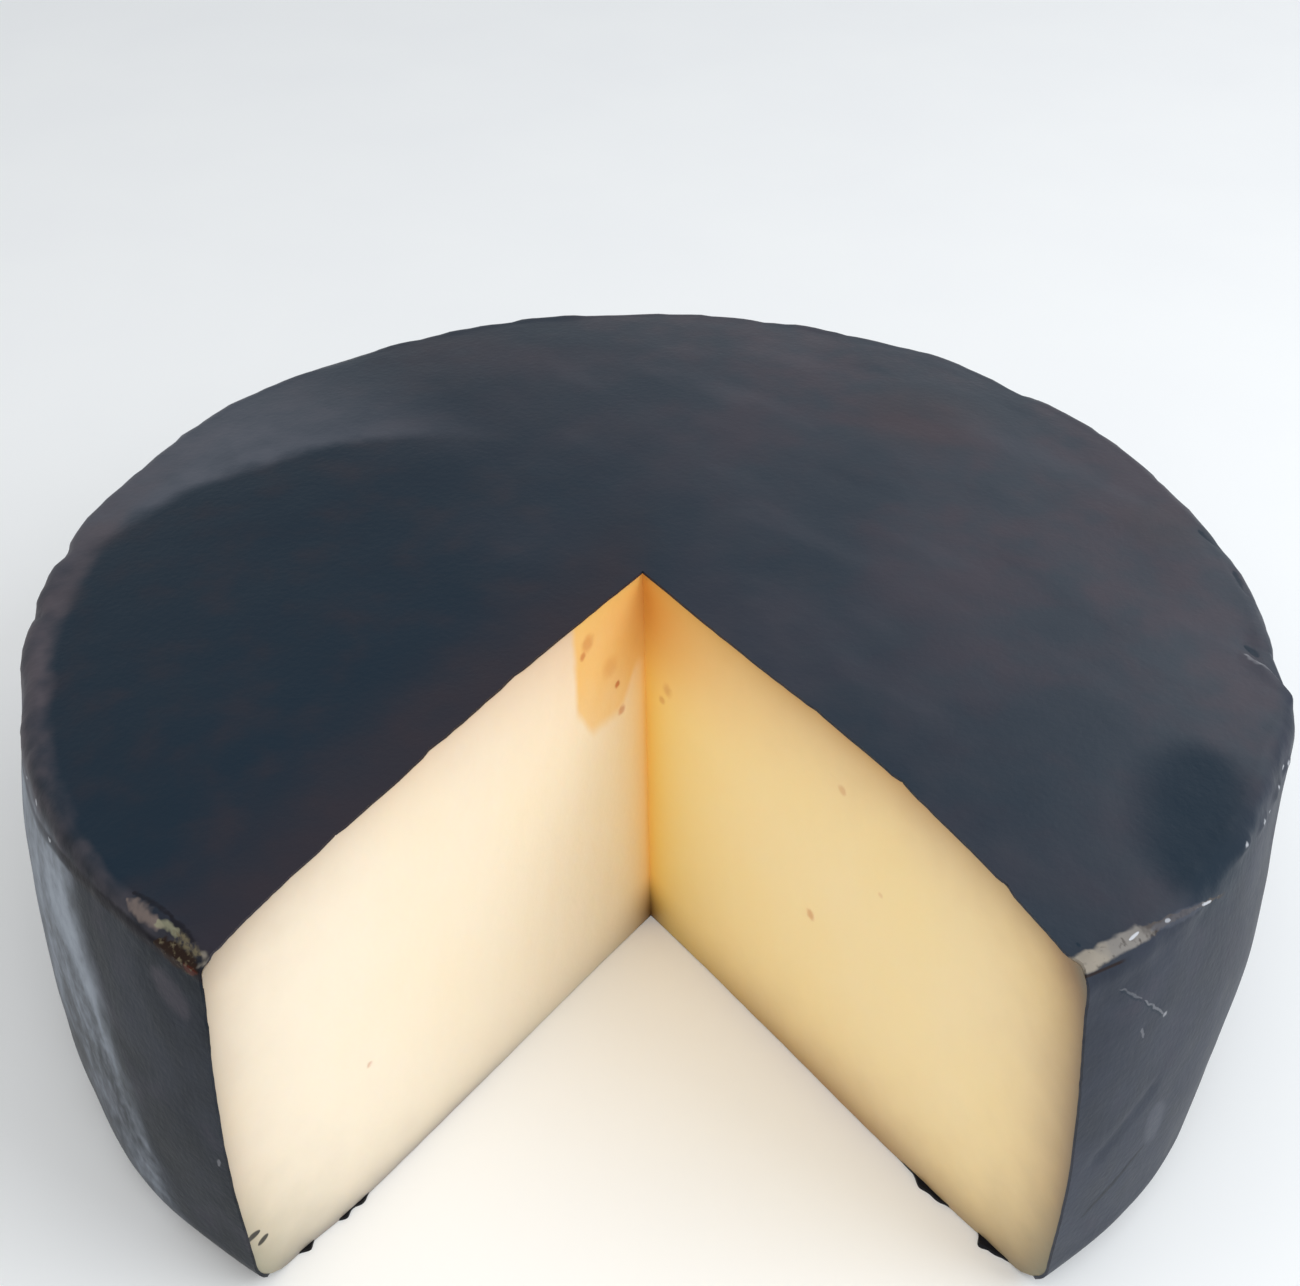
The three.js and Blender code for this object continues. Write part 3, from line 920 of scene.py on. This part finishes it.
# Folds and slits of the rim, with painted shade in its dents and its crease, and painted highlights on the
# seam
# and a raised fold: from angle and fold to angle and fold, half width, strength, colour
SLITS_SHADES_AND_HIGHLIGHTS = (
    (37.1, -6.9, 40.0, -13.8, 0.5, 0.6, BLUE_BLACK), (37.1, -6.5, 40.0, -13.3, 0.35, 0.25, SCRATCH_AND_HIGHLIGHT_GREY),
    (40.0, -13.8, 43.4, -22.8, 0.5, 0.6, BLUE_BLACK), (40.0, -13.3, 43.4, -22.3, 0.35, 0.4, SCRATCH_AND_HIGHLIGHT_GREY),
    (43.2, -21.9, 43.4, -22.3, 0.6, 0.8, SCRATCH_AND_HIGHLIGHT_GREY), (40.2, -20.6, 40.7, -23.6, 0.45, 0.35, SCRATCH_AND_HIGHLIGHT_GREY),
    (44.3, -57.5, 37.0, -64.7, 1.0, 0.7, SIDE_BLACK), (44.6, -48.0, 45.6, -58.0, 4.0, 0.4, PALE_SHEEN_GREY),
    (39.0, 2.5, 40.2, 2.5, 0.5, 0.9, GLINT), (43.0, 0.8, 43.5, 0.4, 0.6, 0.9, GLINT),
    (47.5, -2.5, 49.2, -4.2, 0.5, 0.9, GLINT), (41.2, 1.5, 48.0, -2.8, 1.6, 0.4, PALE_SHEEN_GREY),
    (80.6, 8.8, 78.4, 3.6, 0.9, 0.5, SCRATCH_AND_HIGHLIGHT_GREY), (102, 6.1, 99.3, 4.5, 1.2, 0.8, BLUE_BLACK),
    (95.1, 3.5, 91.5, 4.1, 1.2, 0.8, BLUE_BLACK), (82.6, 7.2, 81.2, 4.6, 1.3, 0.8, BLUE_BLACK),
)


def on_sheet(degrees, fold_mm):
    return [degrees * MM_PER_DEGREE, fold_mm, 0.0]


crumbled = pushed(sheet, push, 0.9)
for degrees, fold_mm, reach in GLINTS:
    colour = mix(colour, GLINT, spot(crumbled, on_sheet(degrees, fold_mm), reach, 0.7))
for from_degrees, from_fold, to_degrees, to_fold, half, strength, paint_of in SLITS_SHADES_AND_HIGHLIGHTS:
    start, end = on_sheet(from_degrees, from_fold), on_sheet(to_degrees, to_fold)
    colour = mix(colour, paint_of, stroke(near_sheet, start, end, half, strength))
print(len(GLINTS), "glints and", len(SLITS_SHADES_AND_HIGHLIGHTS), "folds and slits")

# %% Finish the coating
BASE_SHADE_BLACK = paint(12, 10, 12)
# Painted shade: the coating's lowest millimetre, by the floor, is painted nearly black.
colour = mix(colour, BASE_SHADE_BLACK, smooth(z, 1.4, 0.8, 0.85))
pits = cloud(place, 1.3, 2.0, 23.0)
height = pits * 0.06
gloss = 0.43 + patchy * 0.05 + fine * 0.03 + bloom * 0.22 + on_seam * 0.2 + in_band * 0.1 + wear_and_sheen_top * 0.05


def connect(shader, colour, roughness, height, strength):
    """Lead the varying colour, roughness and small bumps into a shader."""
    bump = height.node("ShaderNodeBump", {}, {"Strength": strength, "Distance": MM, "Height": height})
    for name, wire in (("Base Color", colour), ("Roughness", roughness), ("Normal", bump)):
        wire.tree.links.new(wire.socket, shader.inputs[name])


coating_shader.inputs["Specular IOR Level"].default_value = 0.12
connect(coating_shader, colour, gloss, height, 0.5)
print("the coating's finish has", len(coating_shader.id_data.nodes), "nodes")

# %% [markdown]
# ## The paste's finish
#
# Cut cheese is ivory, but never evenly so. It dries to a grey tan towards the coating, and has a few orange
# stains near the inner edge of the cut. The deeper yellow there is painted light that the faces throw at
# each other, the grey and tan at the base are partly painted shade, and the right face is painted warmer and
# darker, as shade. It is also slightly clear, so light goes a little way in. Here each of these is a soft
# function of how deep a point lies under the coating and how far it is from the inner edge, so they meet
# softly, as they do in cheese.

# %% Find the paste's own measures
paste_shader, place = new_finish("ivory_paste_finish", paste)
x, y, z = parts_of(place)
radius = (x * x + y * y) ** 0.5
share = radius / WHEEL_RADIUS
shoulder = share.math("MAXIMUM", 0.0, (share - SHOULDER_START) / (1 - SHOULDER_START))
above = CENTRE_HEIGHT - share ** 2 * CROWN - shoulder ** 2 * SHOULDER_DROP - z
beside = WHEEL_RADIUS - ((z - WIDEST_LEVEL) / (CENTRE_HEIGHT / 2)) ** 2 * BULGE - radius

lean_x, lean_y = ((CUT_HEAD - CUT_FOOT) / CENTRE_HEIGHT).tolist()
from_edge_x = x - z * lean_x - CUT_FOOT[0]
from_edge_y = y - z * lean_y - CUT_FOOT[1]
inward = (from_edge_x ** 2 + from_edge_y ** 2) ** 0.5
on_right = smooth(from_edge_x, -1.0, 1.0)

broad = cloud(place, 30, 2.0, 3.0)
patchy = cloud(place, 7, 2.0, 9.0)
fine = cloud(place, 1.8, 2.0)
near_place = pushed(place, pushes(place, 1.4), 0.4)
print("the inner edge leans", round(math.hypot(*(CUT_HEAD - CUT_FOOT)), 1), "mm over its height")

# %% Paint the ivory and its edges
IVORY = paint(247, 234, 213)
SHADED_WARM_IVORY = paint(249, 224, 170)
EDGE_GREY = paint(106, 100, 88)
EDGE_TAN = paint(150, 90, 20)
LOW_GREY = paint(132, 136, 114)
THIN_GREY = paint(96, 88, 98)
TAN_REACH = 9.0
GREY_REACH = 4.5


def fading(distance, reach):
    """1 at the edge, and less and less with distance."""
    return distance.math("EXPONENT", distance.math("MAXIMUM", distance, 0.0) * (-1 / reach))


# Painted shade: the right cut face, which turns away from the key light, gets a warmer, darker ivory and more
# tan and grey than the left.
colour = mix(IVORY, SHADED_WARM_IVORY, on_right * 0.9 + broad * 0.15)
wavering = 1.0 + patchy * 0.12 + broad * 0.15
outer_part = smooth(inward, 62.0, 112.0)
tan_share = fading(above * wavering, 6.5) * (0.42 + on_right * 0.34) * (1.0 - outer_part * 0.4)
tan_share = tan_share + fading(z * wavering, 7.5) * on_right * (0.85 - outer_part * 0.4)
near_side = fading(beside * wavering, TAN_REACH)
tan_share = tan_share + near_side * (0.28 + on_right * 0.4)
grey_share = fading(beside * wavering, GREY_REACH) * (0.46 + on_right * 0.36)
grey_share = grey_share + fading(z * wavering, 6.5) * (0.34 + outer_part * 0.2)
grey_share = grey_share + fading(above * wavering, 4.0) * outer_part * 0.4
colour = mix(colour, EDGE_TAN, tan_share.math("MINIMUM", tan_share, 0.8))
colour = mix(colour, EDGE_GREY, grey_share.math("MINIMUM", grey_share, 0.92))
# Partly drying and partly painted shade: the tan and grey that rise from the base, the low corner and the
# thin base line darken the paste where it meets the floor.
low_corner = near_side * smooth(z + patchy * 2, 36.0, 4.0)
colour = mix(colour, LOW_GREY, low_corner * (0.75 - on_right * 0.2))
base_line = fading(z * wavering, 2.0) * smooth(inward, 30.0, 70.0)
colour = mix(colour, THIN_GREY, base_line * (0.6 - on_right * 0.6))
print("the grey fades to a tenth within", round(GREY_REACH * math.log(10), 1), "mm of the side")

# %% Paint the bounced light at the inner edge, and its stains
BOUNCE_YELLOW = paint(255, 222, 126)
BOUNCE_ORANGE = paint(255, 194, 84)
FOOT_BROWN = paint(96, 58, 26)
AMBER = paint(242, 194, 104)
DEEP_AMBER = paint(220, 148, 62)
RED_DOT = paint(190, 96, 44)
STAIN_LEVEL = 61.5

# Painted bounce light: a deeper yellow and orange along the inner edge, stronger on the right face, stand for
# light thrown between the cut faces.
bounce_glow = fading(inward * (1.0 + patchy * 0.1), 7.0) * 0.4 + fading(inward, 26.0) * on_right * 0.7
colour = mix(colour, BOUNCE_YELLOW, bounce_glow.math("MINIMUM", bounce_glow, 1.0))
colour = mix(colour, BOUNCE_ORANGE, fading(inward, 4.0) * 0.6)
colour = mix(colour, FOOT_BROWN, fading(inward, 7.0) * smooth(z, 14.0, 0.0, 0.95))

stain_foot = STAIN_LEVEL + smooth(inward, 9.0, 2.0, 8.0) + smooth(inward, 17.0, 22.5, 7.0) + patchy * 0.6
stain = smooth(z - stain_foot + patchy * 0.8, -1.6, 2.4) * smooth(inward + patchy * 0.7, 23.2, 21.2)
stain = stain * (1.0 - on_right) * (0.6 + smooth(z, 62.0, 78.0, 0.2) + patchy * 0.08)
colour = mix(colour, AMBER, stain)
head_stain = smooth(z, 60.0, 86.0) * fading(inward, 22.0) * (0.5 + on_right * 0.45)
colour = mix(colour, DEEP_AMBER, head_stain)
# Small coloured spots: x, y, z, reach, strength
SPOTS = (
    (-6.4, -9.8, 68.5, 1.1, 0.8), (-5.6, -9.2, 61.5, 1.5, 0.5), (-12.9, -18, 81.4, 1.3, 0.6),
    (-12.2, -16.4, 83.5, 2.6, 0.4), (-7.4, -11.8, 74, 3.4, 0.2), (2.4, -7.2, 62.5, 1.4, 0.35),
    (4.0, -8.2, 66, 2.2, 0.3), (33.9, -49.6, 76.1, 1.4, 0.3), (30.5, -45.7, 41.1, 1.7, 0.45),
    (-50.7, -74.7, 31.5, 1.0, 0.4), (41, -60, 60, 0.9, 0.2), (-30, -45, 22, 1.0, 0.2),
)
for spot_x, spot_y, level, reach, strength in SPOTS:
    colour = mix(colour, RED_DOT, spot(near_place, [spot_x, spot_y, level], reach, strength))
print(len(SPOTS), "small spots")

# %% Add the knife's dark strokes and finish the paste
COATING_SMEAR = paint(30, 26, 24)
# Smears of coating that the knife drew in: start, end, half width
SMEARS = (
    ((-70.2, -102.3, 17.2), (-68.6, -99.0, 15.9), 0.9), ((-69.0, -99.8, 13.2), (-67.8, -97.6, 13.0), 0.95),
)
for start, end, half in SMEARS:
    colour = mix(colour, COATING_SMEAR, stroke(place, start, end, half, 0.95, 0.5))

height = fine * 0.05 + patchy * 0.08
paste_shader.inputs["Specular IOR Level"].default_value = 0.35
paste_shader.inputs["Subsurface Weight"].default_value = 0.15
paste_shader.inputs["Subsurface Radius"].default_value = (1.0, 0.6, 0.3)
paste_shader.inputs["Subsurface Scale"].default_value = 4 * MM
connect(paste_shader, colour, 0.52 + patchy * 0.05 + fine * 0.04 - bounce_glow * 0.08, height, 0.4)
print("the paste's finish has", len(paste_shader.id_data.nodes), "nodes")

# %% [markdown]
# ## The floor
#
# The cheese stands on something white and plain. A wide plane does that. It is only there to catch the soft
# shadow and throw light back up, so it is marked as the stage and isn't part of the object.

# %% Lay the floor
FLOOR_HALF = 3.0
floor_corners = [(side_x * FLOOR_HALF, side_y * FLOOR_HALF, 0) for side_x, side_y in
                 ((-1, -1), (1, -1), (1, 1), (-1, 1))]
floor_mesh = bpy.data.meshes.new("floor")
floor_mesh.from_pydata(floor_corners, [], [(0, 1, 2, 3)])
floor = bpy.data.objects.new("floor", floor_mesh)
bpy.context.scene.collection.objects.link(floor)
floor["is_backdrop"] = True
floor_shader, place = new_finish("white_board", floor)
floor_colour = mix(paint(247, 247, 248), paint(250, 250, 250), cloud(place, 60) * 0.5 + 0.5)
floor_colour.tree.links.new(floor_colour.socket, floor_shader.inputs["Base Color"])
floor_shader.inputs["Roughness"].default_value = 0.8
print("floor of", 2 * FLOOR_HALF, "m")

# %% [markdown]
# ## Soft studio light
#
# The light is soft and comes from the front and the right: the left cut face is the brightest, the right one
# is warmer and a little darker, and the shadow falls to the left. One bare lamp would give hard edges. So
# a large soft light stands at the right, one stands in front, a weak warm one fills from the left, one
# behind at the right gives the black top its sheen, and a pale sky lights the rest.

# %% Set the sky and the lights
SKY_COLOUR = (0.93, 0.97, 1.0, 1)
SKY_STRENGTH = 0.63

world = bpy.data.worlds.new("pale_sky")
world.use_nodes = True
world.node_tree.nodes["Background"].inputs["Color"].default_value = SKY_COLOUR
world.node_tree.nodes["Background"].inputs["Strength"].default_value = SKY_STRENGTH
bpy.context.scene.world = world
bpy.context.scene.view_settings.view_transform = "Standard"


def soft_light(name, azimuth, elevation, distance, size, watts, colour):
    """A square light that looks at the wheel's middle. The azimuth turns from -Y towards +X."""
    turn, lift = math.radians(azimuth), math.radians(elevation)
    toward = Vector((math.sin(turn) * math.cos(lift), -math.cos(turn) * math.cos(lift), math.sin(lift)))
    lamp = bpy.data.objects.new(name, bpy.data.lights.new(name, "AREA"))
    bpy.context.scene.collection.objects.link(lamp)
    lamp.data.energy = watts
    lamp.data.size = size
    lamp.data.color = colour
    stand = Matrix.Translation(Vector((0, 0, CENTRE_HEIGHT / 2 * MM)) + toward * distance)
    lamp.matrix_world = stand @ toward.to_track_quat("Z", "Y").to_matrix().to_4x4()
    print(name, watts, "W at", azimuth, "degrees,", elevation, "up")


soft_light("key_light", 64, 40, 0.9, 0.5, 3.2, (0.92, 0.97, 1.0))
soft_light("front_light", 2, 50, 1.0, 0.7, 2.3, (1.0, 0.98, 0.94))
soft_light("warm_fill", -58, 30, 1.0, 0.7, 0.6, (1.0, 0.86, 0.68))
soft_light("back_sheen", 130, 32, 1.1, 0.6, 1.5, (0.95, 0.97, 1.0))

# %% [markdown] ## The last measurements The dressed wheel has to keep the size of the packed one. Both
# boxes are printed side by side, where they can be compared.

# %% Write the sizes and finish
dressed_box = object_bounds()
for name, box in (("packed", packed_box), ("dressed", dressed_box)):
    print(name, [[round(float(c) / MM, 1) for c in corner] for corner in box])
